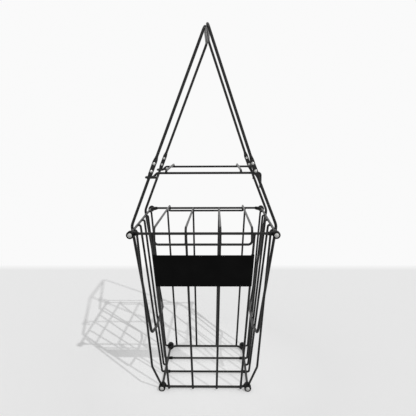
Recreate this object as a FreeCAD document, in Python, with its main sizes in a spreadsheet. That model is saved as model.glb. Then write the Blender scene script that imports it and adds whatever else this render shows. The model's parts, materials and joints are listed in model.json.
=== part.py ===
# Tennis ball hopper: a wire basket with a hinged lid and two handle frames that swing down as legs.
# Units are millimetres and degrees. X runs to the right, Y runs from front to rear and Z runs up.
# The origin is on the floor under the middle of the basket.
import FreeCAD
import Part
import math
import os

Vector = FreeCAD.Vector
doc = FreeCAD.newDocument("BallHopper")

# Driving dimensions, each written once
SIZES = [
    ("base_width", 198, "base loop, left to right, on the wire axis"),
    ("base_depth", 198, "base loop, front to rear, on the wire axis"),
    ("rim_width", 300, "rim loop, left to right, on the wire axis"),
    ("rim_depth", 308, "rim loop, front to rear, on the wire axis"),
    ("basket_height", 377, "from the base loop axis to the rim loop axis"),
    ("loop_dia", 5.6, "wire of the two loops"),
    ("wire_dia", 5, "wire of the walls, the pick-up bars and the lid"),
    ("loop_bend", 20, "corner radius of the two loops"),
    ("hook_bend", 4, "bend radius at the hooked ends of the side wires"),
    ("wall_inset_top", 44.1, "outer front and rear wires inside the rim rails"),
    ("wall_inset_base", 16.5, "outer front and rear wires inside the base rails"),
    ("wall_tail", 1.2, "how far the front and rear wires pass below the base loop axis"),
    ("side_pitch_top", 57, "between side wires at the rim"),
    ("side_rake", 12.5, "how far the side wires lean to the front at the rim"),
    ("side_inset_top", 7, "side wires inside the rim rail"),
    ("side_outset_base", 8, "side wires outside the base rail"),
    ("guide_gap", 25.5, "top bumpers to the front guide wires"),
    ("guide_draw", 9, "how far the front guide wires come in from the rim to their kink"),
    ("rear_guide_offset", 3.25, "rear guide wires behind the rear of the base loop"),
    ("guide_kink_height", 58, "kink of the front guide wires above the base loop axis"),
    ("guide_bow", 6.5, "corner guide wires outside the side wires at their kink"),
    ("guide_bend", 12, "bend radius at the front kinks"),
    ("bumper_dia", 16, "round corner bumpers, the lower four are the feet"),
    ("bumper_length", 16, "along the rail"),
    ("bumper_overhang", 9.5, "past the loop axis"),
    ("bumper_edge", 3, "rounded edge"),
    ("bumper_drop", 2, "top bumpers below the rim axis"),
    ("foot_flat", 0.4, "flat cut off the underside of the lower bumpers"),
    ("cap_dia", 9.4, "domed screw head on each bumper"),
    ("cap_rise", 2.4, "height of the dome"),
    ("cap_shank_dia", 4, "screw shank"),
    ("cap_shank_length", 5, "screw shank"),
    ("collar_dia", 7.6, "collars at the ends of the pick-up bars"),
    ("collar_length", 9, "collars at the ends of the pick-up bars"),
    ("sign_drop", 47, "top edge of the sign below the rim, along the front wall"),
    ("sign_height", 72, "along the front wall"),
    ("sheet_gauge", 1.2, "thickness of the sign plate"),
    ("roll_gauge", 1.5, "wall of the rolled side edges of the sign plate"),
    ("roll_play", 0.1, "between the rolled edges and their wires"),
    ("lid_width", 200, "between the outer lid wires"),
    ("lid_reach", 7, "front of the lid ahead of the rim axis"),
    ("lid_rise", 13, "front knee of the lid above the rim axis"),
    ("lid_drop", 21.5, "front cross wire of the lid below the rim axis"),
    ("lid_bend", 8, "bend radius of the lid wires"),
    ("lid_tail", 4, "straight part under the rim, behind the rear cross wire"),
    ("lid_curl_gap", 0.4, "running gap between the lid curls and the rim"),
    ("rod_dia", 6.3, "rod of the handle frames"),
    ("frame_play", 0.6, "handle rods to the rear guide wires"),
    ("crossbar_height", 131, "lower bar of a handle frame above the base loop axis"),
    ("crossbar_step", 7, "lower corners of a handle frame outside its crossbar"),
    ("crossbar_lead", 38, "slanted end of a crossbar, from the corner to its straight middle"),
    ("knee_rise", 4, "knee of a handle frame above the rim axis"),
    ("knee_bend", 25, "bend radius at the knee"),
    ("frame_bend", 10, "bend radius at the corners of a handle frame"),
    ("joint_height", 131.5, "riveted joint above the rim axis"),
    ("joint_offset", 108.2, "riveted joint from the middle of the basket"),
    ("handle_length", 308, "riveted joint to grip bar"),
    ("right_lean", 18.6, "right handle from upright"),
    ("paddle_length", 38, "flattened rod ends at the riveted joint"),
    ("paddle_width", 9.5, "flattened rod ends at the riveted joint"),
    ("rivet_pitch", 17.3, "between the two rivets of a joint"),
    ("rivet_dia", 4, "rivet shank"),
    ("rivet_head_dia", 6.8, "rivet head"),
    ("rivet_rise", 1.7, "rivet head"),
    ("spreader_dia", 5, "wire of the spreader"),
    ("spreader_height", 118.5, "spreader bars above the rim axis"),
    ("spreader_bend", 5, "bend radius of the spreader"),
    ("spreader_slack", 2.05, "between the spreader bars and the rods of the frames"),
    ("eye_drop", 8, "eyes of the spreader below its bars"),
    ("eye_tail", 19, "free end of each eye"),
    ("hook_drop", 32, "free end of each hook"),
    ("hook_reach", 9.3, "hooks outside the right rods"),
    ("tie_inset", 19.8, "ties of the spreader inside the step to the eyes"),
    ("tie_rise", 5.5, "ties above the spreader bars"),
    ("fit_gap", 0.3, "between pieces that move against each other"),
    ("weld_gap", 0.02, "between crossing wires that are welded"),
]

sheet = doc.addObject("Spreadsheet::Sheet", "Sizes")
for row, (alias, value, note) in enumerate(SIZES, start=1):
    sheet.set("A%d" % row, alias)
    sheet.set("B%d" % row, str(value))
    sheet.set("C%d" % row, note)
    sheet.setAlias("B%d" % row, alias)
doc.recompute()


def size(alias):
    return float(sheet.get(alias))


# Heights and radii that the pieces share
wire_r = size("wire_dia") / 2
loop_r = size("loop_dia") / 2
rod_r = size("rod_dia") / 2
spreader_r = size("spreader_dia") / 2
gap = size("fit_gap")
base_z = size("bumper_dia") / 2 - size("foot_flat")
rim_z = base_z + size("basket_height")
base_x, base_y = size("base_width") / 2, size("base_depth") / 2
rim_x, rim_y = size("rim_width") / 2, size("rim_depth") / 2
guide_top_y = rim_y + size("bumper_overhang") - size("bumper_length") - size("guide_gap")
rear_guide_y = base_y + size("rear_guide_offset")
frame_y = rear_guide_y - wire_r - rod_r - size("frame_play")
sides = {"left": -1, "right": 1}
ends = {"front": -1, "rear": 1}
parts = []


def keep(feature, node):
    feature.Label = node
    parts.append(feature)
    return feature


def route(points, bends):
    """Straight runs joined by tangent arcs; bends holds one radius for each inner point."""
    edges = []
    start = points[0]
    for before, here, after, radius in zip(points, points[1:], points[2:], bends):
        back = (before - here).normalize()
        ahead = (after - here).normalize()
        half = back.getAngle(ahead) / 2
        reach = radius / math.tan(half)
        middle = here + (back + ahead).normalize() * (radius / math.sin(half) - radius)
        edges.append(Part.LineSegment(start, here + back * reach).toShape())
        edges.append(Part.Arc(here + back * reach, middle, here + ahead * reach).toShape())
        start = here + ahead * reach
    edges.append(Part.LineSegment(start, points[-1]).toShape())
    return Part.Wire(edges)


def along(start, end):
    """Placement at start with its Z axis towards end."""
    return FreeCAD.Placement(start, FreeCAD.Rotation(Vector(0, 0, 1), end - start))


def bent_wire(name, diameter, points, bends):
    """Round wire swept along a route, its section bound to the sheet."""
    spine = doc.addObject("Part::Feature", name + "_route")
    spine.Shape = route(points, bends)
    section = doc.addObject("Part::Circle", name + "_section")
    section.setExpression("Radius", "Sizes.%s / 2" % diameter)
    section.Placement = along(points[0], points[1])
    wire = doc.addObject("Part::Sweep", name)
    wire.Sections = [section]
    wire.Spine = (spine, ["Edge%d" % (n + 1) for n in range(len(spine.Shape.Edges))])
    wire.Solid = True
    return wire


def rod(name, diameter, start, end):
    """Straight round bar between two points, its radius bound to the sheet."""
    bar = doc.addObject("Part::Cylinder", name)
    bar.setExpression("Radius", "Sizes.%s / 2" % diameter)
    bar.Height = (end - start).Length
    bar.Placement = along(start, end)
    return bar


def cut(name, base, tool):
    trimmed = doc.addObject("Part::Cut", name)
    trimmed.Base, trimmed.Tool = base, tool
    return trimmed


def group(kind, name, members):
    joined = doc.addObject(kind, name)
    if kind == "Part::Compound":
        joined.Links = members
    else:
        joined.Shapes = members
    return joined


# Rim and base: closed wire loops with rounded corners
def loop(name, half_x, half_y, height):
    corners = [Vector(x * half_x, y * half_y, height) for x, y in [(1, -1), (1, 1), (-1, 1), (-1, -1)]]
    seam = Vector(0, -half_y, height)
    return keep(bent_wire(name, "loop_dia", [seam] + corners + [seam], [size("loop_bend")] * 4), name)


rim = loop("rim_loop", rim_x, rim_y, rim_z)
base = loop("base_loop", base_x, base_y, base_z)
loops = group("Part::Compound", "loops", [rim, base])

# Front and rear walls: straight wires from under the rim to the outer face of the base loop
wall_slope = math.atan2(rim_y - base_y, size("basket_height"))
wall_base_y = base_y + (loop_r + wire_r + size("weld_gap")) / math.cos(wall_slope)
wire_slope = math.atan2(rim_y - wall_base_y, size("basket_height"))
wall_base_x = base_x - size("wall_inset_base")
wall_top_x = rim_x - size("wall_inset_top")
WIRES_PER_WALL = 4


def wall_point(end, column, height):
    """Point on a front or rear wire at a height, in the line from the rim to the base."""
    share = (height - base_z) / size("basket_height")
    outer_x = wall_base_x + share * (wall_top_x - wall_base_x)
    x = outer_x * (2 * column / (WIRES_PER_WALL - 1) - 1)
    return Vector(x, end * (wall_base_y + share * (rim_y - wall_base_y)), height)


for end_name, end in ends.items():
    for column in range(WIRES_PER_WALL):
        name = "%s_wire_%d" % (end_name, column + 1)
        top = wall_point(end, column, rim_z)
        foot = wall_point(end, column, base_z - size("wall_tail"))
        keep(cut(name, rod(name + "_bar", "wire_dia", foot, top), rim), name)

# Side walls: wires with both ends hooked onto the rails
side_top_x = rim_x - size("side_inset_top")
side_base_x = base_x + size("side_outset_base")
bar_y = base_y / 3


def side_x(height):
    """Distance of the side wires from the middle at a height."""
    return side_base_x + (side_top_x - side_base_x) * (height - base_z) / size("basket_height")


for side_name, side in sides.items():
    for number, row in enumerate([-1, 0, 1], start=1):
        name = "side_wire_%s_%d" % (side_name, number)
        top_y, foot_y = row * size("side_pitch_top") - size("side_rake"), row * bar_y
        points = [
            Vector(side * rim_x, top_y, rim_z),
            Vector(side * side_top_x, top_y, rim_z),
            Vector(side * side_base_x, foot_y, base_z),
            Vector(side * base_x, foot_y, base_z),
        ]
        hooked = bent_wire(name + "_whole", "wire_dia", points, [size("hook_bend")] * 2)
        keep(cut(name, hooked, loops), name)

# Corner bumpers on both loops, each with a domed screw in its outer face
BUMPER_FACES = ["Edge1", "Edge3"]
caps = []
floor_block = doc.addObject("Part::Box", "floor_block")
floor_block.setExpression("Length", "2 * Sizes.base_width")
floor_block.setExpression("Width", "2 * Sizes.base_depth")
floor_block.setExpression("Height", "Sizes.bumper_dia")
floor_block.Placement.Base = Vector(-size("base_width"), -size("base_depth"), -size("bumper_dia"))


def bumper(level, end_name, side_name, x, y, z):
    end, side = ends[end_name], sides[side_name]
    name = "bumper_%s_%s_%s" % (level, end_name, side_name)
    face = Vector(side * x, end * (y + size("bumper_overhang")), z)
    inner = face - Vector(0, end * size("bumper_length"), 0)
    blank = rod(name + "_blank", "bumper_dia", inner, face)
    doc.recompute()
    rounded = doc.addObject("Part::Fillet", name + "_rounded")
    rounded.Base = blank
    rounded.Edges = [(int(edge[4:]), size("bumper_edge"), size("bumper_edge")) for edge in BUMPER_FACES]
    shank = rod(name + "_shank", "cap_shank_dia", face, face - Vector(0, end * size("cap_shank_length"), 0))
    holes = [loops, shank] if level == "top" else [loops, shank, floor_block]
    keep(cut(name, rounded, group("Part::Compound", name + "_holes", holes)), name)
    half, rise = size("cap_dia") / 2, size("cap_rise")
    sphere_r = (half ** 2 + rise ** 2) / (2 * rise)
    dome = doc.addObject("Part::Sphere", name + "_dome")
    dome.Radius = sphere_r
    dome.Angle1 = math.degrees(math.asin((sphere_r - rise) / sphere_r))
    outward = Vector(0, end, 0)
    dome.Placement = along(face - outward * (sphere_r - rise), face + outward)
    caps.append(group("Part::MultiFuse", name + "_cap", [dome, shank]))
    return blank


blanks = {}
for end_name in ends:
    for side_name in sides:
        bumper("top", end_name, side_name, rim_x, rim_y, rim_z - size("bumper_drop"))
        blanks[end_name, side_name] = bumper("base", end_name, side_name, base_x, base_y, base_z)
keep(group("Part::Compound", "corner_caps", caps), "corner_caps")

# Corner guide wires: hooked on the rim rail and ending in the lower bumpers. The front ones kink
# above the base and slant in, the rear ones turn in at the level of the base loop.
for end_name, end in ends.items():
    for side_name, side in sides.items():
        name = "guide_wire_%s_%s" % (end_name, side_name)
        if end_name == "front":
            top_y, kink_y = guide_top_y, guide_top_y - size("guide_draw")
            kink_z, kink_bend = base_z + size("guide_kink_height"), size("guide_bend")
        else:
            top_y, kink_y = rear_guide_y, rear_guide_y
            kink_z, kink_bend = base_z, size("hook_bend")
        points = [
            Vector(side * rim_x, end * top_y, rim_z),
            Vector(side * side_top_x, end * top_y, rim_z),
            Vector(side * (side_x(kink_z) + size("guide_bow")), end * kink_y, kink_z),
            Vector(side * base_x, end * base_y, base_z),
        ]
        whole = bent_wire(name + "_whole", "wire_dia", points, [size("hook_bend"), kink_bend])
        stops = group("Part::Compound", name + "_stops", [rim, blanks[end_name, side_name]])
        keep(cut(name, whole, stops), name)

# Pick-up bars across the base, with a collar against each rail
collars = []
for end_name, end in ends.items():
    name = "pickup_bar_" + end_name
    left, right = (Vector(side * base_x, end * bar_y, base_z) for side in sides.values())
    bar = keep(cut(name, rod(name + "_bar", "wire_dia", left, right), base), name)
    for side_name, side in sides.items():
        outer = Vector(side * (base_x - loop_r), end * bar_y, base_z)
        inner = outer - Vector(side * size("collar_length"), 0, 0)
        tube = rod("collar_%s_%s_tube" % (end_name, side_name), "collar_dia", inner, outer)
        collars.append(cut("collar_%s_%s" % (end_name, side_name), tube, bar))
keep(group("Part::Compound", "bar_collars", collars), "bar_collars")

# Sign plate: flat sheet in front of the wall wires, its sides rolled round the outer two
sign_top_z = rim_z - size("sign_drop") * math.cos(wire_slope)
sign_foot_z = sign_top_z - size("sign_height") * math.cos(wire_slope)
outward = Vector(0, -math.cos(wire_slope), -math.sin(wire_slope))
corners = []
for height, columns in [(sign_foot_z, [0, WIRES_PER_WALL - 1]), (sign_top_z, [WIRES_PER_WALL - 1, 0])]:
    corners += [wall_point(-1, column, height) + outward * (wire_r + size("weld_gap")) for column in columns]
outline = doc.addObject("Part::Feature", "sign_outline")
outline.Shape = Part.Face(Part.makePolygon(corners + corners[:1]))
panel = doc.addObject("Part::Extrusion", "sign_panel")
panel.Base = outline
panel.DirMode = "Custom"
panel.Dir = outward
panel.setExpression("LengthFwd", "Sizes.sheet_gauge")
panel.Solid = True
rolls, bores = [], []
for column in (0, WIRES_PER_WALL - 1):
    foot, top = wall_point(-1, column, sign_foot_z), wall_point(-1, column, sign_top_z)
    roll = rod("sign_roll_%d" % (column + 1), "wire_dia", foot, top)
    roll.setExpression("Radius", "Sizes.wire_dia / 2 + Sizes.roll_gauge")
    rolls.append(roll)
    stretch = (top - foot).normalize() * size("sign_drop") / 2
    bore = rod("sign_bore_%d" % (column + 1), "wire_dia", foot - stretch, top + stretch)
    bore.setExpression("Radius", "Sizes.wire_dia / 2 + Sizes.roll_play")
    bores.append(bore)
solid_sign = group("Part::MultiFuse", "sign_solid", [panel] + rolls)
keep(cut("sign_plate", solid_sign, group("Part::Compound", "sign_bores", bores)), "sign_plate")

# Lid: one closed wire that curls round the rear rim bar and drops over the front one
lid_x = size("lid_width") / 2
curl_r = loop_r + wire_r + size("lid_curl_gap")
lid_front_y = -rim_y - size("lid_reach")
knee_z = rim_z + size("lid_rise")
drop_z = rim_z - size("lid_drop")
rear_bend = wire_r * 2
tail_y = rim_y - size("lid_tail") - rear_bend


def lid_side(side):
    """Points and bends of one long side, from the rear cross wire over the rim to the front."""
    points = [
        Vector(side * lid_x, tail_y, rim_z - curl_r),
        Vector(side * lid_x, rim_y + curl_r, rim_z - curl_r),
        Vector(side * lid_x, rim_y + curl_r, rim_z + curl_r),
        Vector(side * lid_x, lid_front_y, knee_z),
        Vector(side * lid_x, lid_front_y, drop_z),
    ]
    curl = curl_r - size("weld_gap")
    return points, [rear_bend, curl, curl, size("lid_bend"), size("lid_bend")]


right_points, right_bends = lid_side(1)
left_points, left_bends = lid_side(-1)
seam = Vector(0, tail_y, rim_z - curl_r)
lid_points = [seam] + right_points + left_points[::-1] + [seam]
lid_frame = keep(bent_wire("lid_frame", "wire_dia", lid_points, right_bends + left_bends[::-1]), "lid_frame")

for side_name, side in sides.items():
    name = "lid_wire_" + side_name
    x = side * wall_top_x / (WIRES_PER_WALL - 1)
    points = [
        Vector(x, rim_y - loop_r - size("lid_curl_gap"), rim_z - curl_r + wire_r * 2 + size("weld_gap")),
        Vector(x, lid_front_y, knee_z),
        Vector(x, lid_front_y, drop_z),
    ]
    whole = bent_wire(name + "_whole", "wire_dia", points, [size("lid_bend")])
    keep(cut(name, whole, lid_frame), name)

# Handle frames: the lower frame goes round the outside of the rim rail to a crossbar inside the wall.
# Its lower corners stand outside the wall wires, so each end of the crossbar slants in behind them.
crossbar_z = base_z + size("crossbar_height")
wall_lean = math.atan2(side_top_x - side_base_x, size("basket_height"))
crossbar_x = side_x(crossbar_z) - (wire_r + rod_r + gap) / math.cos(wall_lean)
foot_x = crossbar_x + size("crossbar_step")
straight_y = frame_y - size("crossbar_lead")
frame_knee_z = rim_z + size("knee_rise")
joint = Vector(size("joint_offset"), 0, rim_z + size("joint_height"))


def knee_distance():
    """Distance of the knee from the middle that leaves the rod clear of the rim rail."""
    clear = loop_r + rod_r + gap
    x = rim_x + clear
    for _ in range(8):
        low = math.atan2(x - foot_x, frame_knee_z - crossbar_z)
        high = math.atan2(x - joint.x, joint.z - frame_knee_z)
        shave = size("knee_bend") * (1 / math.cos((low + high) / 2) - 1)
        x = rim_x + (clear + size("knee_rise") * math.sin(low)) / math.cos(low) + shave
    return x


knee_x = knee_distance()
knee = Vector(knee_x, 0, frame_knee_z)
lower_dir = (joint - knee).normalize()
right_lean = math.radians(size("right_lean"))
reach_share = (2 * joint.x * math.cos(right_lean) - size("rod_dia") - gap) / size("handle_length")
left_lean = math.asin(reach_share) - right_lean
leans = {"left": left_lean, "right": right_lean}
half_paddle = size("paddle_length") / 2


def mirrored(side, point, y):
    return Vector(side * point.x, y, point.z)


def paddle(name, centre, direction, outer):
    """Flattened rod end: a flat bar with round ends, half as thick as the rod."""
    across = direction.cross(Vector(0, 1, 0)) * (size("paddle_width") / 2)
    straight = direction * (half_paddle - size("paddle_width") / 2)
    tip = direction * half_paddle
    a, b = centre + straight + across, centre + straight - across
    c, d = centre - straight - across, centre - straight + across
    edges = [
        Part.Arc(a, centre + tip, b).toShape(),
        Part.LineSegment(b, c).toShape(),
        Part.Arc(c, centre - tip, d).toShape(),
        Part.LineSegment(d, a).toShape(),
    ]
    flat = doc.addObject("Part::Feature", name + "_outline")
    flat.Shape = Part.Face(Part.Wire(edges))
    bar = doc.addObject("Part::Extrusion", name)
    bar.Base = flat
    bar.DirMode = "Custom"
    bar.Dir = Vector(0, outer, 0)
    bar.setExpression("LengthFwd", "Sizes.rod_dia / 2")
    bar.Solid = True
    return bar


def rivet(name, spot, end):
    """Domed head on the outer face, shank through both flattened ends and flush inside."""
    face = spot + Vector(0, end * rod_r, 0)
    shank = rod(name + "_shank", "rivet_dia", spot - Vector(0, end * rod_r, 0), face)
    half, rise = size("rivet_head_dia") / 2, size("rivet_rise")
    sphere_r = (half ** 2 + rise ** 2) / (2 * rise)
    head = doc.addObject("Part::Sphere", name + "_head")
    head.Radius = sphere_r
    head.Angle1 = math.degrees(math.asin((sphere_r - rise) / sphere_r))
    head.Placement = along(face - Vector(0, end * (sphere_r - rise), 0), face + Vector(0, end, 0))
    return shank, group("Part::MultiFuse", name, [head, shank])


for side_name, side in sides.items():
    lean = leans[side_name]
    down = mirrored(side, lower_dir, 0)
    up = Vector(-side * math.sin(lean), 0, math.cos(lean))
    grip = mirrored(side, joint, 0) + up * size("handle_length")
    shanks, rivets, lower_ends, upper_ends = [], [], [], []
    for end_name, end in ends.items():
        centre = mirrored(side, joint, end * frame_y)
        lower_ends.append(paddle("leg_paddle_%s_%s" % (side_name, end_name), centre, down, -end))
        upper_ends.append(paddle("grip_paddle_%s_%s" % (side_name, end_name), centre, up, end))
        for number in (-1, 1):
            spot = centre + down * (number * size("rivet_pitch") / 2)
            shank, whole = rivet("rivet_%s_%s_%d" % (side_name, end_name, number + 2), spot, end)
            shanks.append(shank)
            rivets.append(whole)
    holes = group("Part::Compound", "rivet_holes_" + side_name, shanks)
    rod_end = half_paddle + gap
    lower_points, upper_points = [], []
    for end in ends.values():
        lower_points.append([
            mirrored(side, joint, end * frame_y) - down * rod_end,
            mirrored(side, knee, end * frame_y),
            Vector(side * foot_x, end * frame_y, crossbar_z),
            Vector(side * crossbar_x, end * straight_y, crossbar_z),
        ])
        upper_points.append([
            mirrored(side, joint, end * frame_y) + up * rod_end,
            Vector(grip.x, end * frame_y, grip.z),
        ])
    bends = [size("knee_bend"), size("frame_bend"), size("frame_bend")]
    lower_rod = bent_wire("leg_rod_" + side_name, "rod_dia", lower_points[0] + lower_points[1][::-1],
                          bends + bends[::-1])
    upper_rod = bent_wire("grip_rod_" + side_name, "rod_dia", upper_points[0] + upper_points[1][::-1],
                          [size("frame_bend")] * 2)
    necks = {"leg": [], "grip": []}
    for end_name, end in ends.items():
        centre = mirrored(side, joint, end * frame_y)
        for kind, direction, outer in (("leg", -down, -end), ("grip", up, end)):
            neck = rod("%s_neck_%s_%s" % (kind, side_name, end_name), "rod_dia",
                       centre + direction * (half_paddle - size("paddle_width")), centre + direction * (rod_end + gap))
            block = doc.addObject("Part::Box", neck.Name + "_half")
            block.setExpression("Length", "2 * Sizes.rod_dia")
            block.setExpression("Width", "Sizes.rod_dia")
            block.setExpression("Height", "Sizes.paddle_length")
            turn = FreeCAD.Rotation(Vector(0, outer, 0).cross(direction), Vector(0, outer, 0), direction, "ZYX")
            block.Placement = FreeCAD.Placement(centre - turn.multVec(Vector(size("rod_dia"), 0, 0)), turn)
            half = doc.addObject("Part::Common", neck.Name + "_flat")
            half.Base, half.Tool = neck, block
            necks[kind].append(half)
    lower = group("Part::MultiFuse", "leg_solid_" + side_name, [lower_rod] + lower_ends + necks["leg"])
    upper = group("Part::MultiFuse", "grip_solid_" + side_name, [upper_rod] + upper_ends + necks["grip"])
    keep(cut("leg_frame_" + side_name, lower, holes), "leg_frame_" + side_name)
    keep(cut("handle_" + side_name, upper, holes), "handle_" + side_name)
    keep(group("Part::Compound", "rivets_" + side_name, rivets), "rivets_" + side_name)

# Spreader: two bars with eyes round the left rods and hooks behind the right rods, and two ties
spreader_z = rim_z + size("spreader_height")
spreader_y = frame_y - rod_r - size("spreader_slack") - spreader_r
eye_y = 2 * frame_y - spreader_y
eye_z = spreader_z - size("eye_drop")


def rod_x(height):
    """Distance of the lower rods from the middle at a height between the knee and the joint."""
    return joint.x + (joint.z - height) * (knee.x - joint.x) / (joint.z - knee.z)


eye_x = -rod_x(eye_z)
eye_reach = (rod_r + spreader_r + gap) / lower_dir.z
step_x = eye_x + size("eye_drop")
level_x = step_x + size("eye_drop")
hook_x = rod_x(spreader_z) + size("hook_reach")
eye_bend = min(size("spreader_bend"), (eye_y - spreader_y) / 2 - size("weld_gap"))
bars = {}
for end_name, end in ends.items():
    outer_x = eye_x - eye_reach
    points = [
        Vector(hook_x, end * spreader_y, spreader_z - size("hook_drop")),
        Vector(hook_x, end * spreader_y, spreader_z),
        Vector(level_x, end * spreader_y, spreader_z),
        Vector(step_x, end * spreader_y, eye_z),
        Vector(outer_x, end * spreader_y, eye_z),
        Vector(outer_x, end * eye_y, eye_z),
        Vector(eye_x + size("eye_tail"), end * eye_y, eye_z),
    ]
    bends = [size("spreader_bend")] * 3 + [eye_bend] * 2
    name = "spreader_bar_" + end_name
    bars[end_name] = keep(bent_wire(name, "spreader_dia", points, bends), name)
both_bars = group("Part::Compound", "spreader_bars", list(bars.values()))
for side_name, side in sides.items():
    name = "spreader_tie_" + side_name
    x, top_z = -side * (level_x + size("tie_inset")), spreader_z + size("tie_rise")
    points = [
        Vector(x, -spreader_y, spreader_z),
        Vector(x, -spreader_y, top_z),
        Vector(x, spreader_y, top_z),
        Vector(x, spreader_y, spreader_z),
    ]
    staple = bent_wire(name + "_whole", "spreader_dia", points, [spreader_r] * 2)
    keep(cut(name, staple, both_bars), name)

# Checks before anything is written
doc.recompute()
for feature in doc.Objects:
    if "Invalid" in feature.State or "Error" in feature.State:
        raise RuntimeError("%s failed: %s" % (feature.Label, feature.State))
os.makedirs("parts", exist_ok=True)
for feature in parts:
    shape = feature.Shape
    if shape.isNull() or not shape.isValid() or not shape.Solids:
        raise RuntimeError("%s has no valid solid" % feature.Label)
for feature in parts:
    feature.Shape.exportStep("parts/%s.step" % feature.Label)
print("%d sub-parts, %d solids" % (len(parts), sum(len(feature.Shape.Solids) for feature in parts)))
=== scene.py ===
# %% [markdown]
# # A tennis ball hopper, dressed in Blender
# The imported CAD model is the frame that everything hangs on. It already holds every wire at its real size.
# This lesson adds what the CAD leaves plain: hammered rod ends, rivets, moulded bumpers, screw heads, weld
# beads, a rolled sign plate and the finishes. We load the frame first, because every new piece rides on one
# of its bodies, and we note its box, so that the dressed model can be held to the same size at the end.

# %% Load the frame
import json
import math

import bmesh
import bpy
import numpy as np
from mathutils import Matrix, Vector


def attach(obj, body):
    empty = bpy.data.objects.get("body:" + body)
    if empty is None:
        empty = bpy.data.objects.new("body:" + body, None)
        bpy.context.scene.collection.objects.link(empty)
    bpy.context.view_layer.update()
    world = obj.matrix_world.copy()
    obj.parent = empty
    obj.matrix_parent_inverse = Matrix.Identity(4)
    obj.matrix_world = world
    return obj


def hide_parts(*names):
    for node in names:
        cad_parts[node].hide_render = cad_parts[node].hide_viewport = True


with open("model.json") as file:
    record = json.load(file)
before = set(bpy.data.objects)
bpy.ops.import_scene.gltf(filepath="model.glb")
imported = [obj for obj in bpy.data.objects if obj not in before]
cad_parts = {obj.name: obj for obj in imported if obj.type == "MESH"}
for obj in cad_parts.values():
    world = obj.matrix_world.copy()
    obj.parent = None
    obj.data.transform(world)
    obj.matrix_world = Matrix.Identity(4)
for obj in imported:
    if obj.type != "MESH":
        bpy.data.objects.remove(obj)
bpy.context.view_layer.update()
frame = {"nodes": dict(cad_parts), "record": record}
nodes = frame["nodes"]

# %% [markdown]
# ## Sizes
# All lengths here are in millimetres, as a maker would read them off a drawing. They become metres only when
# a mesh is made. X runs to the right, Y from front to rear and Z up from the floor.

# %% Sizes in millimetres
MM = 0.001
RIM = dict(x=150.0, y=154.0, z=384.6)
BASE = dict(x=99.0, y=99.0, z=7.6)
BASKET_HEIGHT = 377.0
WIRE_R, LOOP_R, ROD_R, LOOP_BEND = 2.5, 2.8, 3.15, 20.0
WELD_GAP, RUNNING_GAP = 0.02, 0.3
OUTER_WIRE_BASE, OUTER_WIRE_TOP = 82.5, 105.9
SIDE_PITCH_BASE, SIDE_PITCH_TOP, SIDE_RAKE = 33.0, 57.0, 12.5
GUIDE_WIRE_Y = (-122.0, 102.25)
BUMPER_R, BUMPER_LENGTH, OVERHANG, BUMPER_DROP = 8.0, 16.0, 9.5, 2.0
FRAME_Y = 96.0
JOINT = np.array([108.2, 516.1])
KNEE = np.array([157.7802, 388.6])
FOOT = np.array([120.5322, 138.6])
CROSSBAR_X, CROSSBAR_HALF = 113.5322, 58.0
KNEE_BEND, FRAME_BEND = 25.0, 10.0
HANDLE_LENGTH, RIGHT_LEAN = 308.0, 18.6
PADDLE_LENGTH, PADDLE_WIDTH, RIVET_PITCH = 38.0, 9.5, 17.3
SIGN_DROP, SIGN_HEIGHT, SHEET = 47.0, 72.0, 1.2
LID_WIRE_X, LID_REAR_Y, LID_FRONT_Y, LID_DROP = 35.3, 145.6, -161.0, 21.5
SPREADER_RISE, TIE_X, TIE_Y = 118.5, 80.57, 88.3
SIDES = {"left": -1, "right": 1}
ENDS = {"front": -1, "rear": 1}
wall_lean = math.atan2(RIM["y"] - BASE["y"], BASKET_HEIGHT)
wall_base_y = BASE["y"] + (LOOP_R + WIRE_R + WELD_GAP) / math.cos(wall_lean)


def wall_wire(height, column):
    """Centre of a front wire: a straight line from under the rim to the outside of the base loop."""
    share = (height - BASE["z"]) / BASKET_HEIGHT
    outer = OUTER_WIRE_BASE + share * (OUTER_WIRE_TOP - OUTER_WIRE_BASE)
    return outer * (2 * column / 3 - 1), -(wall_base_y + share * (RIM["y"] - wall_base_y))


print("front wires meet the base loop at y = %.1f mm" % -wall_base_y)

# %% [markdown]
# ## From a grid of points to a mesh
# Nearly every new piece is a surface of two parameters: rings along a path, and points round each ring. The
# points are worked out as one numpy array of rings x sides x 3, and the faces follow from the grid alone.
# `foreach_set` hands the whole array to Blender at once, far quicker than adding vertices one by one.

# %% Grid to mesh
def grid_faces(rings, sides):
    """Quads of a rings x sides grid: each joins point (i, j) to its neighbours (i, j+1), (i+1, j+1) and
    (i+1, j). The last point of a ring meets its first one."""
    i = np.arange(rings - 1)[:, None]
    j = np.arange(sides)[None, :]
    i2, j2 = i + 1, (j + 1) % sides
    quads = np.stack([i * sides + j, i * sides + j2, i2 * sides + j2, i2 * sides + j], axis=-1)
    return quads.reshape(-1, 4)


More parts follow.
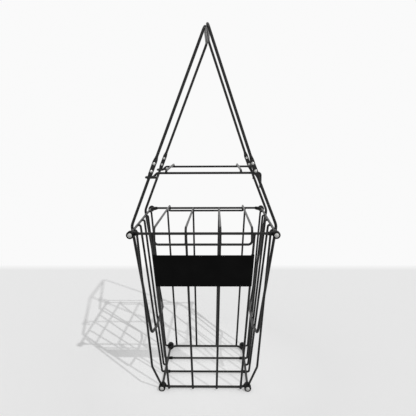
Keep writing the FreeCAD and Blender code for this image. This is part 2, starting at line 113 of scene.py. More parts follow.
def make_piece(name, points_mm, quads, material, body, smooth_angle=40.0):
    """Mesh object from points in millimetres and quads. Doubles are merged and faces turned outwards."""
    mesh = bpy.data.meshes.new(name)
    points = np.asarray(points_mm, dtype=np.float32).reshape(-1, 3) * MM
    quads = np.asarray(quads, dtype=np.int32)
    mesh.vertices.add(len(points))
    mesh.vertices.foreach_set("co", points.ravel())
    mesh.loops.add(quads.size)
    mesh.loops.foreach_set("vertex_index", quads.ravel())
    mesh.polygons.add(len(quads))
    mesh.polygons.foreach_set("loop_start", np.arange(len(quads), dtype=np.int32) * quads.shape[1])
    mesh.update(calc_edges=True)
    mesh.validate()
    work = bmesh.new()
    work.from_mesh(mesh)
    bmesh.ops.remove_doubles(work, verts=work.verts, dist=2e-6)
    bmesh.ops.dissolve_degenerate(work, edges=work.edges, dist=1e-6)
    bmesh.ops.recalc_face_normals(work, faces=work.faces)
    work.to_mesh(mesh)
    work.free()
    mesh.shade_smooth()
    mesh.set_sharp_from_angle(angle=math.radians(smooth_angle))
    piece = bpy.data.objects.new(name, mesh)
    bpy.context.scene.collection.objects.link(piece)
    mesh.materials.append(material)
    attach(piece, body)
    return piece


# %% [markdown]
# ## Powder coat
# The wires are coated with black powder that melts into a skin. Seen close, that skin has a soft ripple, like
# orange peel, a gloss that wanders a little, and grey dust on the faces that look up. A flat black would look
# like a cut-out, so three noises of different sizes drive the bump, the roughness and the colour.

# %% Powder coat
DUST_GREY = (0.30, 0.29, 0.27, 1.0)


def add(tree, kind, **sockets):
    """New node with its inputs set: a value, or an output socket to link."""
    made = tree.nodes.new(kind)
    for key, value in sockets.items():
        socket = made.inputs[key.replace("_", " ")]
        if isinstance(value, bpy.types.NodeSocket):
            tree.links.new(value, socket)
        else:
            socket.default_value = value
    return made


def start(name):
    """A fresh material with its tree, its Principled shader and Object coordinates."""
    material = bpy.data.materials.new(name)
    material.use_nodes = True
    tree = material.node_tree
    shader = tree.nodes["Principled BSDF"]
    place = tree.nodes.new("ShaderNodeTexCoord").outputs["Object"]
    return material, tree, shader, place


def ramp(tree, factor, stops):
    """Colour ramp from a list of (position, grey or colour)."""
    made = tree.nodes.new("ShaderNodeValToRGB")
    tree.links.new(factor, made.inputs["Fac"])
    marks = made.color_ramp.elements
    while len(marks) < len(stops):
        marks.new(0.5)
    for mark, (position, colour) in zip(marks, stops):
        mark.position = position
        colour = (colour,) * 3 if isinstance(colour, float) else colour
        mark.color = (*colour, 1.0)
    return made.outputs["Color"]


def span(tree, value, low, high, at_low=0.0, at_high=1.0):
    """Map Range: low to high becomes at_low to at_high in a straight line, and stays level beyond them."""
    made = add(tree, "ShaderNodeMapRange", Value=value, From_Min=low, From_Max=high,
               To_Min=at_low, To_Max=at_high)
    return made.outputs["Result"]


def maths(tree, operation, first, second):
    """Math node on two sockets, such as their product or the larger of them."""
    made = tree.nodes.new("ShaderNodeMath")
    made.operation = operation
    tree.links.new(first, made.inputs[0])
    tree.links.new(second, made.inputs[1])
    return made.outputs["Value"]


def powder_coat(name, dark, light, rough, peel, dust, shine):
    """Satin coat: ripple of about a millimetre, gloss that wanders, and dust where the surface looks up."""
    material, tree, shader, place = start(name)
    shader.inputs["Specular IOR Level"].default_value = shine
    broad = add(tree, "ShaderNodeTexNoise", Vector=place, Scale=28.0, Detail=3.0)
    ripple = add(tree, "ShaderNodeTexNoise", Vector=place, Scale=900.0, Detail=2.0, Roughness=0.45)
    fine = add(tree, "ShaderNodeTexNoise", Vector=place, Scale=4200.0, Detail=1.0)
    colour = ramp(tree, broad.outputs["Fac"], [(0.32, dark), (0.68, light)])
    normal = tree.nodes.new("ShaderNodeNewGeometry").outputs["Normal"]
    up = add(tree, "ShaderNodeSeparateXYZ", Vector=normal).outputs["Z"]
    film = span(tree, up, 0.25, 1.0, 0.0, dust)
    patch = span(tree, broad.outputs["Fac"], 0.3, 0.75)
    mixed = tree.nodes.new("ShaderNodeMix")
    mixed.data_type = "RGBA"
    tree.links.new(maths(tree, "MULTIPLY", film, patch), mixed.inputs["Factor"])
    tree.links.new(colour, mixed.inputs["A"])
    mixed.inputs["B"].default_value = DUST_GREY
    tree.links.new(mixed.outputs["Result"], shader.inputs["Base Color"])
    gloss = span(tree, ripple.outputs["Fac"], 0.0, 1.0, rough - 0.06, rough + 0.08)
    tree.links.new(gloss, shader.inputs["Roughness"])
    coarse = add(tree, "ShaderNodeBump", Height=ripple.outputs["Fac"], Strength=peel, Distance=0.00025)
    grain = add(tree, "ShaderNodeBump", Height=fine.outputs["Fac"], Strength=peel * 0.5, Distance=0.00006,
                Normal=coarse.outputs["Normal"])
    tree.links.new(grain.outputs["Normal"], shader.inputs["Normal"])
    return material


wire_coat = powder_coat("wire_powder_coat", 0.006, 0.011, 0.34, 0.35, 0.09, 0.26)
rod_coat = powder_coat("rod_powder_coat", 0.006, 0.010, 0.32, 0.30, 0.08, 0.28)
sign_coat = powder_coat("sign_matte_coat", 0.0018, 0.0030, 0.55, 0.45, 0.0, 0.04)

# %% [markdown]
# ## Moulded plastic, zinc and aluminium
# The bumpers are moulded from a black plastic with a fine spark-eroded grain, a little greyer where it rubs.
# The screw heads are zinc plated: bright, with faint turning rings. The rivets are softer aluminium, hammered
# over, so they are duller and slightly uneven. Metals take their colour from what they reflect, so most of
# their life is in the roughness and the bump.

# %% Plastic and bright metals
def moulded(name, dark, scuffed, rough):
    """Black plastic: tight grain in the bump, cloudy scuffs in the colour and the gloss."""
    material, tree, shader, place = start(name)
    shader.inputs["Specular IOR Level"].default_value = 0.10
    grain = add(tree, "ShaderNodeTexNoise", Vector=place, Scale=2600.0, Detail=2.0)
    cloud = add(tree, "ShaderNodeTexNoise", Vector=place, Scale=160.0, Detail=4.0, Roughness=0.7)
    colour = ramp(tree, cloud.outputs["Fac"], [(0.45, dark), (0.78, scuffed)])
    tree.links.new(colour, shader.inputs["Base Color"])
    gloss = span(tree, cloud.outputs["Fac"], 0.0, 1.0, rough - 0.08, rough + 0.12)
    tree.links.new(gloss, shader.inputs["Roughness"])
    bump = add(tree, "ShaderNodeBump", Height=grain.outputs["Fac"], Strength=0.3, Distance=0.0001)
    tree.links.new(bump.outputs["Normal"], shader.inputs["Normal"])
    return material


def bright_metal(name, colour, rough, scale, strength):
    """Plated or bare metal: even colour, clouded gloss and a light hammer or turning texture."""
    material, tree, shader, place = start(name)
    shader.inputs["Metallic"].default_value = 1.0
    cloud = add(tree, "ShaderNodeTexNoise", Vector=place, Scale=scale, Detail=3.0)
    tint = ramp(tree, cloud.outputs["Fac"], [(0.3, tuple(0.9 * c for c in colour)), (0.7, colour)])
    tree.links.new(tint, shader.inputs["Base Color"])
    gloss = span(tree, cloud.outputs["Fac"], 0.0, 1.0, rough - 0.08, rough + 0.12)
    tree.links.new(gloss, shader.inputs["Roughness"])
    bump = add(tree, "ShaderNodeBump", Height=cloud.outputs["Fac"], Strength=strength, Distance=0.0002)
    tree.links.new(bump.outputs["Normal"], shader.inputs["Normal"])
    return material


bumper_plastic = moulded("bumper_plastic", 0.003, 0.009, 0.55)
collar_plastic = moulded("collar_plastic", 0.008, 0.020, 0.42)
cap_zinc = bright_metal("cap_zinc", (0.50, 0.50, 0.49), 0.66, 420.0, 0.25)
rivet_aluminium = bright_metal("rivet_aluminium", (0.50, 0.50, 0.49), 0.36, 700.0, 0.3)

# %% [markdown]
# ## Finishes on the CAD pieces
# The loops, wall wires, guide wires, pick-up bars, lid and spreader already have their true shape in the
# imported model, so they keep their meshes and only swap their material. Which finish a node gets follows from
# the slot that the record gives it.

# %% Give the kept CAD pieces their finish
finishes = {"wire": wire_coat, "rod": rod_coat, "sign": sign_coat, "bumper": bumper_plastic,
            "collar": collar_plastic, "cap": cap_zinc, "rivet": rivet_aluminium}
slots = {part["node"]: part["material_slot"] for part in frame["record"]["subparts"]}
for name, piece in nodes.items():
    for place in piece.material_slots:
        place.material = finishes[slots[name]]
print("finished", len(nodes), "CAD pieces")

# %% [markdown]
# ## Paths with bent corners
# A wire bender makes straight runs joined by arcs. The helper walks the corner points and returns evenly
# spaced points with their directions. It loops over the few corners only; the samples of each run and arc
# come as whole arrays.

# %% Bent path
def bent_path(corners, radii, step=2.0, turn=math.radians(7.5)):
    """Points and unit tangents along runs joined by tangent arcs: an arc of radius r starts r / tan(half the
    inner angle) before its corner, and its tangent turns evenly from one run to the next."""
    corners = [np.asarray(c, dtype=float) for c in corners]
    points, tangents, begin = [], [], corners[0]

    def run(a, b):
        count = max(2, int(np.linalg.norm(b - a) / step))
        t = np.linspace(0.0, 1.0, count, endpoint=False)[:, None]
        direction = (b - a) / np.linalg.norm(b - a)
        points.append(a + t * (b - a))
        tangents.append(np.repeat(direction[None], count, axis=0))

    for before, here, after, radius in zip(corners, corners[1:], corners[2:], radii):
        back = (before - here) / np.linalg.norm(before - here)
        ahead = (after - here) / np.linalg.norm(after - here)
        half = math.acos(float(np.clip(back @ ahead, -1, 1))) / 2
        reach = radius / math.tan(half)
        run(begin, here + back * reach)
        centre = here + (back + ahead) / np.linalg.norm(back + ahead) * radius / math.sin(half)
        sweep = math.pi - 2 * half
        angle = np.linspace(0.0, sweep, max(3, int(sweep / turn)), endpoint=False)[:, None]
        spoke = (here + back * reach - centre) / radius
        points.append(centre + radius * (np.cos(angle) * spoke + np.sin(angle) * -back))
        tangents.append(-np.sin(angle) * spoke + np.cos(angle) * -back)
        begin = here + ahead * reach
    run(begin, corners[-1])
    points.append(corners[-1][None])
    tangents.append(tangents[-1][-1:])
    return np.concatenate(points), np.concatenate(tangents)


def length_along(points):
    """Distance from the first point, summed over the chords."""
    return np.concatenate([[0.0], np.cumsum(np.linalg.norm(np.diff(points, axis=0), axis=1))])


# %% [markdown]
# ## Handle rods with hammered ends
# Each side of the hopper has two bent rods of 6.3 mm. Where they meet, both ends are hammered flat to half
# the rod's thickness and laid side by side, so that the joint is no thicker than the rod. The section is
# carried along the path and changes shape on the way: a circle in the rod, a rounded slab at the end. One
# smooth blend between the two gives the shoulders that a hammer leaves, which a boolean could not.

# %% Section that turns from a circle into a slab
ROD_SIDES = 32
SHOULDER_LEAD, SHOULDER_LENGTH, CLOSE_RINGS = 5.0, 13.0, 52.0
around = np.linspace(0.0, 2 * math.pi, ROD_SIDES, endpoint=False)


def smooth(t):
    """Eases from 0 to 1: 3t^2 - 2t^3 on the clipped value."""
    t = np.clip(t, 0.0, 1.0)
    return t * t * (3 - 2 * t)


def squared(wave, power):
    """Sign-keeping power of a cosine or sine, which pushes a circle towards a rectangle."""
    return np.sign(wave) * np.abs(wave) ** power


def rod_sections(distance, lap):
    """Across and through offsets of each ring: flat share f of a slab (9.5 x 3.15 mm, moved to the lap side)
    and 1 - f of a circle. f falls from 1 to 0 over the 13 mm shoulder, which starts 5 mm before the slab
    ends. The slab narrows over its last half width as a round nose, and thins a little there."""
    flat = 1.0 - smooth((distance - PADDLE_LENGTH + SHOULDER_LEAD) / SHOULDER_LENGTH)[:, None]
    nose_r = PADDLE_WIDTH / 2
    nose = np.sqrt(np.clip(1.0 - (1.0 - np.clip(distance / nose_r, 0, 1)) ** 2, 0.0, 1.0))[:, None]
    slab_across = nose_r * squared(np.cos(around), 0.55)[None] * nose
    thinning = 0.55 + 0.45 * np.minimum(1, nose * 2.2)
    slab_through = ROD_R / 2 * squared(np.sin(around), 0.5)[None] * thinning + lap * ROD_R / 2
    across = flat * slab_across + (1 - flat) * ROD_R * np.cos(around)[None]
    through = flat * slab_through + (1 - flat) * ROD_R * np.sin(around)[None]
    return across, through


def half_rod(corners, radii, lap):
    """Front half of a handle frame, from its flat end to the middle of its cross bar. Each ring is the path
    point plus across x side + through x other. In the rod's own plane the side is the normal in that plane;
    from the corner on it stays that normal, less its part along the path, so that the rings never twist. The
    rings stand close together over the first 52 mm, where the section changes."""
    points, tangents = bent_path(corners, radii)
    distance = length_along(points)
    fine = np.concatenate([np.linspace(0, 1, 9) ** 2 * 5.0, np.arange(6.0, CLOSE_RINGS, 1.0)])
    keep = distance > CLOSE_RINGS
    points = np.concatenate([points[0] + fine[:, None] * tangents[0], points[keep]])
    tangents = np.concatenate([np.repeat(tangents[:1], len(fine), axis=0), tangents[keep]])
    in_plane = np.abs(tangents[:, 1]) < 1e-6
    side = np.stack([tangents[:, 2], 0 * tangents[:, 1], -tangents[:, 0]], axis=1)
    side = np.where(in_plane[:, None], side, side[in_plane][-1])
    side -= np.sum(side * tangents, axis=1, keepdims=True) * tangents
    side /= np.linalg.norm(side, axis=1, keepdims=True)
    other = np.cross(side, tangents)
    across, through = rod_sections(length_along(points), lap)
    return points[:, None] + across[..., None] * side[:, None] + through[..., None] * other[:, None]


# %% [markdown]
# The rear half of each frame is the front half mirrored, so the two are joined into one grid: the front
# rings, then the mirrored rings in reverse. The ring at the middle of the cross bar lies in the mirror plane
# and is shared, and the flat ends close on themselves because their last ring has no width left. The left
# handle leans until it stands just beside the right one, so its angle follows from the right one's.

# %% The four handle rods
def frame_rod(name, side_name, corners, radii, lap, node):
    """Mirrors the front half in Y, joins both halves into one grid and hangs it on its frame."""
    front = half_rod(np.array(corners, dtype=float) * [SIDES[side_name], 1, 1], radii, lap)
    rings = np.concatenate([front, front[-2::-1] * [1.0, -1.0, 1.0]])
    piece = make_piece(name, rings, grid_faces(len(rings), ROD_SIDES), rod_coat, side_name + "_frame")
    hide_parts(node)
    print(name, "has", len(rings), "rings")


lower_dir = (JOINT - KNEE) / np.linalg.norm(JOINT - KNEE)
right_lean = math.radians(RIGHT_LEAN)
apart = 2 * JOINT[0] * math.cos(right_lean) - 2 * ROD_R - RUNNING_GAP
left_lean = math.asin(apart / HANDLE_LENGTH) - right_lean
leans = {"left": left_lean, "right": right_lean}
test_section = rod_sections(np.array([20.0, 80.0]), 1.0)
print("flat end %.2f mm wide, rod %.2f mm" % (np.ptp(test_section[0][0]), np.ptp(test_section[0][1])))
for side_name in SIDES:
    lean = leans[side_name]
    up = np.array([-math.sin(lean), math.cos(lean)])
    at_frame = lambda p: (p[0], -FRAME_Y, p[1])
    lower = [at_frame(JOINT + lower_dir * PADDLE_LENGTH / 2), at_frame(KNEE), at_frame(FOOT),
             (CROSSBAR_X, -CROSSBAR_HALF, FOOT[1]), (CROSSBAR_X, 0, FOOT[1])]
    top = JOINT + up * HANDLE_LENGTH
    upper = [at_frame(JOINT - up * PADDLE_LENGTH / 2), at_frame(top), (top[0], 0, top[1])]
    frame_rod("leg_rod_" + side_name, side_name, lower, [KNEE_BEND, FRAME_BEND, FRAME_BEND], 1.0,
              "leg_frame_" + side_name)
    frame_rod("grip_rod_" + side_name, side_name, upper, [FRAME_BEND], -1.0, "handle_" + side_name)

# %% [markdown]
# ## Round pieces
# Rivets, screw heads and bumpers are all turned shapes: a profile of radius against depth, swept once round
# an axis. Here the axis always runs front to rear, so a point at depth d and radius r lands at
# (x + r cos a, y + d, z + r sin a). Profiles start and end on the axis, which closes the surface.

# %% Turned shapes
def turned(profile, centre, facing, sides=40):
    """Grid of a profile of (radius, depth) pairs round the Y axis; facing -1 turns its head to the front."""
    profile = np.asarray(profile, dtype=float)
    angle = np.linspace(0.0, 2 * math.pi, sides, endpoint=False)
    x = centre[0] + profile[:, :1] * np.cos(angle)
    y = np.repeat(centre[1] + facing * profile[:, 1:], sides, axis=1)
    z = centre[2] + profile[:, :1] * np.sin(angle)
    return np.stack([x, y, z], axis=-1)


def join_grids(grids):
    """Several grids as one list of points and one list of quads."""
    points = np.concatenate([g.reshape(-1, 3) for g in grids])
    offsets = np.cumsum([0] + [g.shape[0] * g.shape[1] for g in grids[:-1]])
    quads = np.concatenate([grid_faces(*g.shape[:2]) + o for g, o in zip(grids, offsets)])
    return points, quads


def dome(radius, rise, steps=9):
    """Profile of a spherical cap from its rim to its top: the sphere has radius (a^2 + h^2) / 2h."""
    ball = (radius ** 2 + rise ** 2) / (2 * rise)
    angle = np.linspace(math.asin(radius / ball), 0.0, steps)
    return np.stack([ball * np.sin(angle), rise - ball + ball * np.cos(angle)], axis=1)


# %% [markdown]
# ## Rivets
# Two rivets hold each joint. The factory head is a smooth dome on the outside with a thin flat brim. The
# other end is struck over inside the frame, where it spreads into a low, slightly dished button.

# %% Rivets
def rivet(x, z, end):
    """Two turned shapes at one rivet: the domed head outside the rod, and the struck button inside it. Both
    start 0.4 mm under the rod's skin."""
    brim = [[0.0, -0.4], [2.4, -0.4], [3.3, -0.02], [3.4, 0.1], [3.38, 0.22]]
    outer = np.concatenate([brim, dome(3.3, 1.55) + [0.0, 0.12]])
    button = [[0.0, -0.4], [2.2, -0.4], [2.75, -0.02], [2.95, 0.25], [2.9, 0.6], [2.5, 0.86], [1.9, 0.94],
              [1.2, 0.84], [0.6, 0.7], [0.0, 0.66]]
    return [turned(outer, (x, end * (FRAME_Y + ROD_R), z), end, 28),
            turned(button, (x, end * (FRAME_Y - ROD_R), z), -end, 28)]


for side_name, side in SIDES.items():
    grids = []
    for end in ENDS.values():
        for number in (-1, 1):
            x, z = JOINT + lower_dir * number * RIVET_PITCH / 2
            grids += rivet(side * x, z, end)
    piece = make_piece("rivet_heads_" + side_name, *join_grids(grids), rivet_aluminium,
                       side_name + "_frame", 50)
    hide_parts("rivets_" + side_name)
print("rivets:", len(grids), "turned shapes a side")

# %% [markdown]
# ## Corner bumpers and their screw heads
# A bumper is a short moulded cylinder over each corner of a loop. Its mould leaves a little draft, generous
# rounded edges and a shallow dish round the screw. The lower four are the feet, so their underside is cut
# flat at the floor: every point that would lie below it is lifted to it, which leaves the 5 mm wide flat.

# %% Bumpers
def bumper_profile():
    """Radius against depth from the inner face, which is 16 mm behind the outer one: a quarter circle at
    each edge, a wall with a little draft between them, and a dish in the outer face."""
    draft_r, inner_edge, outer_edge = 7.85, 3.4, 2.4
    edge = np.linspace(0.0, math.pi / 2, 9)
    inner = np.stack([draft_r - inner_edge + inner_edge * np.sin(edge),
                      -BUMPER_LENGTH + inner_edge - inner_edge * np.cos(edge)], axis=1)
    outer = np.stack([BUMPER_R - outer_edge + outer_edge * np.cos(edge),
                      -outer_edge + outer_edge * np.sin(edge)], axis=1)
    body = [[7.9, -10.5], [7.96, -7.0], [7.99, -4.0]]
    dish = [[5.5, -0.02], [5.25, -0.25], [5.1, -0.5], [3.0, -0.55], [0.0, -0.55]]
    return np.concatenate([[[0.0, -BUMPER_LENGTH]], inner, body, outer, dish])


def bumper(level, end_name, side_name, loop):
    """Turns one bumper, lifts what would lie below the floor up to it, and gives the middle of its face."""
    end, side = ENDS[end_name], SIDES[side_name]
    drop = BUMPER_DROP if level == "top" else 0.0
    face = np.array([side * loop["x"], end * (loop["y"] + OVERHANG), loop["z"] - drop])
    grid = turned(bumper_profile(), face, end, 64)
    if level == "base":
        grid[..., 2] = np.maximum(grid[..., 2], 0.0)
    node = "bumper_%s_%s_%s" % (level, end_name, side_name)
    piece = make_piece("moulded_" + node, grid, grid_faces(*grid.shape[:2]), bumper_plastic, "basket", 50)
    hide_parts(node)
    return face


faces = [bumper(level, e, s, loop) for level, loop in (("top", RIM), ("base", BASE))
         for e in ENDS for s in SIDES]
cap = np.concatenate([[[0.0, -0.5], [4.55, -0.5], [4.7, -0.35], [4.7, 0.1], [4.55, 0.3], [4.2, 0.42]],
                      dome(4.0, 1.85) + [0.0, 0.5]])
grids = [turned(cap, face, 1 if face[1] > 0 else -1, 40) for face in faces]
caps = make_piece("screw_heads", *join_grids(grids), cap_zinc, "basket", 50)
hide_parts("corner_caps")
print("bumpers and screw heads:", len(faces))

# %% [markdown]
# Behind each bumper the same plastic runs on round the bend of the loop, as a short elbow that keeps the
# bumper from turning. Each elbow is a bent thick tube over the wire, with rounded ends: its radius grows from
# the wire's to the full 4.8 mm in the first part of the arc and falls back at its end. The upper four go
# nearly the whole way round the bend, the lower four about half.

# %% Elbows over the bends of the loops
def elbow(loop, end, side, drop, sweep):
    """Rings of radius r(t) = 2.9 + 1.9 sin(pi t)^0.35 round the corner arc, t from 0 to 1 along it. A point
    at each end closes the tube."""
    t = np.linspace(0.0, 1.0, 33)
    turn = np.radians(6.0 + sweep * t)
    radius = 2.9 + 1.9 * np.clip(np.sin(math.pi * t), 0.0, 1.0) ** 0.35
    angle = np.linspace(0.0, 2 * math.pi, 28, endpoint=False)
    reach = LOOP_BEND + radius[:, None] * np.cos(angle)
    x = side * (loop["x"] - LOOP_BEND + reach * np.cos(turn)[:, None])
    y = end * (loop["y"] - LOOP_BEND + reach * np.sin(turn)[:, None])
    z = loop["z"] - drop * np.sin(math.pi * t)[:, None] + radius[:, None] * np.sin(angle)
    tip = lambda i: np.repeat([[x[i].mean(), y[i].mean(), z[i].mean()]], 28, axis=0)[None]
    return np.concatenate([tip(0), np.stack([x, y, z], axis=-1), tip(-1)])


grids = [elbow(loop, e, s, drop, sweep) for loop, drop, sweep in ((RIM, 0.8, 76.0), (BASE, 0.0, 44.0))
         for e in ENDS.values() for s in SIDES.values()]
elbows = make_piece("bumper_elbows", *join_grids(grids), collar_plastic, "basket", 50)
print("elbows:", len(grids))

# %% [markdown]
# ## The sign plate
# A strip of thin sheet carries a sign on the front wall. Its sides are rolled round the outer two wires,
# which is all that holds it. Seen from above, the sheet is a long flat with a curl at each end. We draw that
# line once from arc lengths, give it thickness by stepping out along its normal on both sides, and carry it
# from the foot of the plate to its top, where the wires stand a little further apart.

# %% Sign plate
def sign_section():
    """Mid-line of the rolled sheet seen from above: a 250 degree curl of radius 3.12 round each wire, and a
    flat between them. With it go its normals and how far each point moves with the wires, from -1 to 1."""
    curl = np.radians(np.linspace(-160.0, 90.0, 34))
    mid_r = WIRE_R + WELD_GAP + SHEET / 2
    left = np.stack([mid_r * np.cos(math.pi - curl), mid_r * np.sin(curl)], axis=1)
    left_normal = np.stack([np.cos(math.pi - curl), np.sin(curl)], axis=1)
    flat = np.linspace(0.0, 1.0, 61)[1:-1]
    line = np.concatenate([left, np.stack([flat * 0, flat * 0 + mid_r], axis=1), left[::-1] * [-1, 1]])
    normal = np.concatenate([left_normal, np.tile([0.0, 1.0], (len(flat), 1)),
                             left_normal[::-1] * [-1, 1]])
    shift = np.concatenate([-np.ones(len(left)), 2 * flat - 1, np.ones(len(left))])
    return line, normal, shift


def sign_plate():
    """Rows of the plate from foot to top: the section's mid-line, plus and minus half the sheet along its
    normal, set on the wires. The half thickness is rounded off over the last 0.4 mm at the foot and top."""
    slope = math.atan2(RIM["y"] - wall_base_y, BASKET_HEIGHT)
    top = RIM["z"] - SIGN_DROP * math.cos(slope)
    foot = top - SIGN_HEIGHT * math.cos(slope)
    edge = np.array([0.0, 0.06, 0.18, 0.4])
    middle = np.linspace(2.0, SIGN_HEIGHT - 2.0, 18)
    rows = np.concatenate([edge, middle, SIGN_HEIGHT - edge[::-1]]) / SIGN_HEIGHT
    inset = np.minimum(np.minimum(rows, 1 - rows) * SIGN_HEIGHT / edge[-1], 1.0)
    half = SHEET / 2 * np.sqrt(1 - (1 - inset) ** 2) * 0.55 + SHEET / 2 * 0.45
    line, normal, shift = sign_section()
    outline = np.concatenate([line, line[::-1]])
    step = np.concatenate([normal, -normal[::-1]])
    moves = np.concatenate([shift, shift[::-1]])
    height = foot + rows * (top - foot)
    x_wire, y_wire = wall_wire(height, 3)
    x = x_wire[:, None] * moves + outline[:, 0] + half[:, None] * step[:, 0]
    out = outline[:, 1] + half[:, None] * step[:, 1]
    y = y_wire[:, None] - out * math.cos(slope)
    z = height[:, None] - out * math.sin(slope)
    return np.stack([x, y, z], axis=-1)


plate = sign_plate()
rings, sides = plate.shape[:2]
quads = [grid_faces(rings, sides)]
j = np.arange(sides // 2 - 1)
for row in (0, rings - 1):
    quads.append(np.stack([row * sides + j, row * sides + j + 1, row * sides + sides - 2 - j,
                           row * sides + sides - 1 - j], axis=1))
piece = make_piece("rolled_sign_plate", plate, np.concatenate(quads), sign_coat, "basket", 50)
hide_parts("sign_plate")
print("sign plate %.0f mm wide at the top" % np.ptp(plate[-1, :, 0]))

# %% [markdown]
# ## Weld beads
# Crossing wires are pressed together and welded by a current, which squeezes out a small ring of metal under
# the coat. Each bead is a low ellipsoid of a few dozen faces that sits in the crossing. There are many, so
# all the beads of one body are one mesh, made by shifting and stretching a single unit sphere.

# %% Beads
def unit_sphere(rings=9, sides=12):
    """Points on a sphere of radius 1 from its height angle and its turn angle."""
    lift = np.linspace(-math.pi / 2, math.pi / 2, rings)[:, None]
    turn = np.linspace(0.0, 2 * math.pi, sides, endpoint=False)[None, :]
    return np.stack([np.cos(lift) * np.cos(turn), np.cos(lift) * np.sin(turn), np.sin(lift) + 0 * turn],
                    axis=-1)


def beads(name, spots, material, body):
    """One ellipsoid for each (centre, half sizes): the unit sphere times its half sizes plus its centre."""
    ball = unit_sphere()
    grids = [ball * np.array(half) + np.array(centre) for centre, half in spots]
    piece = make_piece(name, *join_grids(grids), material, body, 60)


rail_bead = (1.5, 3.1, 3.1)
spots = []
for end in ENDS.values():
    for column in range(4):
        for height, half in ((RIM["z"] - 3.6, (3.1, 3.1, 1.5)), (BASE["z"], (3.4, 1.6, 2.9))):
            x, y = wall_wire(height, column)
            inwards = 0.0 if half[2] < 2 else WIRE_R
            spots.append(((x, -end * (y + inwards), height), half))
for side in SIDES.values():
    for row in (-1, 0, 1):
        y = row * SIDE_PITCH_TOP - SIDE_RAKE
        spots.append(((side * (RIM["x"] - LOOP_R - 0.6), y, RIM["z"]), rail_bead))
        spots.append(((side * (BASE["x"] + LOOP_R + 0.6), row * SIDE_PITCH_BASE, BASE["z"]), rail_bead))
    for y in GUIDE_WIRE_Y:
        spots.append(((side * (RIM["x"] - LOOP_R - 0.6), y, RIM["z"]), rail_bead))
beads("weld_beads_basket", spots, wire_coat, "basket")
lid_spots = []
for x in (-LID_WIRE_X, LID_WIRE_X):
    lid_spots.append(((x, LID_REAR_Y, RIM["z"] - 2.9), (3.1, 2.2, 1.6)))
    lid_spots.append(((x, LID_FRONT_Y, RIM["z"] - LID_DROP + 3.0), (3.1, 3.1, 1.5)))
beads("weld_beads_lid", lid_spots, wire_coat, "lid")
tie_spots = [((x, y, RIM["z"] + SPREADER_RISE + 2.7), (3.1, 2.9, 1.4))
             for x in (-TIE_X, TIE_X) for y in (-TIE_Y, TIE_Y)]
beads("weld_beads_spreader", tie_spots, wire_coat, "spreader")
print("beads:", len(spots) + len(lid_spots) + len(tie_spots))

# %% [markdown]
# ## Floor, light and camera
# The hopper stands on a plain pale floor that fades into white behind it, as in a studio. One parallel light
# from the front right throws its shadow to the left and back, thin and crisp as in the photograph. The world
# gives even white light all round, and shows white to the camera and in reflections.

# %% Floor
PAPER_WHITE = (0.955, 0.955, 0.955, 1.0)


def studio_floor():
    """Large plane whose tone fades to white: by Y behind the hopper, by distance from it all round, and
    partly right under it, where the photograph's floor is brightest. The camera alone sees the fade."""
    material, tree, shader, place = start("pale_floor")
    shader.inputs["Roughness"].default_value = 0.9
    shader.inputs["Specular IOR Level"].default_value = 0.0
    shader.inputs["Base Color"].default_value = (0.84, 0.84, 0.84, 1.0)
    split = add(tree, "ShaderNodeSeparateXYZ", Vector=place)
    behind = span(tree, split.outputs["Y"], 0.80, 0.88)
    reach = tree.nodes.new("ShaderNodeVectorMath")
    reach.operation = "LENGTH"
    tree.links.new(place, reach.inputs[0])
    far = span(tree, reach.outputs["Value"], 1.3, 2.6)
    near = span(tree, reach.outputs["Value"], 0.10, 0.30, 0.42, 0.0)
    most = maths(tree, "MAXIMUM", maths(tree, "MAXIMUM", behind, far), near)
    eye = maths(tree, "MULTIPLY", most, tree.nodes.new("ShaderNodeLightPath").outputs["Is Camera Ray"])
    white = add(tree, "ShaderNodeEmission", Color=PAPER_WHITE, Strength=1.0)
    mixed = add(tree, "ShaderNodeMixShader", Fac=eye)
    tree.links.new(shader.outputs["BSDF"], mixed.inputs[1])
    tree.links.new(white.outputs["Emission"], mixed.inputs[2])
    tree.links.new(mixed.outputs["Shader"], tree.nodes["Material Output"].inputs["Surface"])
    points = [(-6.0, -6.0, 0.0), (6.0, -6.0, 0.0), (6.0, 6.0, 0.0), (-6.0, 6.0, 0.0)]
    mesh = bpy.data.meshes.new("floor")
    mesh.from_pydata(points, [], [(0, 1, 2, 3)])
    mesh.materials.append(material)
    floor = bpy.data.objects.new("floor", mesh)
    bpy.context.scene.collection.objects.link(floor)


studio_floor()
print("floor: 12 m square")

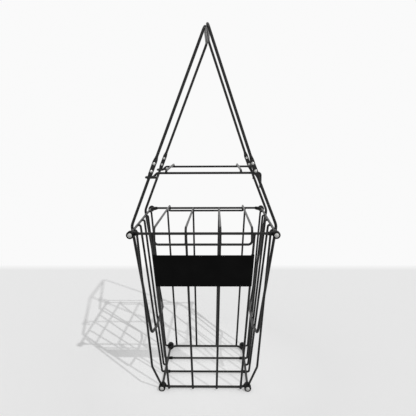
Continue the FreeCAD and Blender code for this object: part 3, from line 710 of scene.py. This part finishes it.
# %% Light
world = bpy.data.worlds.new("studio_world")
bpy.context.scene.world = world
world.use_nodes = True
tree = world.node_tree
ground = tree.nodes["Background"]
ground.inputs["Color"].default_value = PAPER_WHITE
path = tree.nodes.new("ShaderNodeLightPath")
seen = maths(tree, "MAXIMUM", path.outputs["Is Camera Ray"], path.outputs["Is Glossy Ray"])
tree.links.new(span(tree, seen, 0.0, 1.0, 0.68, 1.0), ground.inputs["Strength"])


def sun(name, direction, strength, spread):
    """Parallel light from a direction, with the spread in degrees that softens its shadows. Where a sun
    stands makes no difference, so only its turn is set."""
    data = bpy.data.lights.new(name, "SUN")
    data.energy, data.angle = strength, math.radians(spread)
    made = bpy.data.objects.new(name, data)
    made.rotation_euler = Vector(direction).to_track_quat("Z", "Y").to_euler()
    bpy.context.scene.collection.objects.link(made)


sun("key_light", (0.54, -0.72, 1.0), 1.3, 0.9)
print("one sun and a white world")

# %% [markdown]
# The camera was solved from the photograph: the corners of the rim and of the base, and the two bars across
# the base, fix where it stood and which way it looked. Its matrix is built from its pitch, yaw and roll, so
# that the view can be checked against the numbers. The focal length is 445 pixels on a 416 pixel frame.

# %% Camera
pitch, yaw, roll = 0.1718, -0.0169, -0.005
stand = (0.0254, -1.0459, 0.5927)
FOCAL_PIXELS, FRAME_PIXELS, SENSOR = 445.0, 416.0, 36.0
ahead = Vector((math.sin(yaw) * math.cos(pitch), math.cos(yaw) * math.cos(pitch), -math.sin(pitch)))
right = Vector((math.cos(yaw), -math.sin(yaw), 0.0))
above = right.cross(ahead)
turned_right = math.cos(roll) * right + math.sin(roll) * above
turned_up = -math.sin(roll) * right + math.cos(roll) * above
lens = bpy.data.cameras.new("photo_camera")
lens.sensor_width, lens.lens = SENSOR, SENSOR * FOCAL_PIXELS / FRAME_PIXELS
lens.clip_start, lens.clip_end = 0.05, 50.0
camera = bpy.data.objects.new("photo_camera", lens)
bpy.context.scene.collection.objects.link(camera)
columns = Matrix((turned_right, turned_up, -ahead)).transposed().to_4x4()
camera.matrix_world = Matrix.Translation(stand) @ columns
bpy.context.scene.camera = camera
bpy.context.scene.view_settings.view_transform = "Standard"
print("camera looks down %.1f degrees" % math.degrees(pitch))
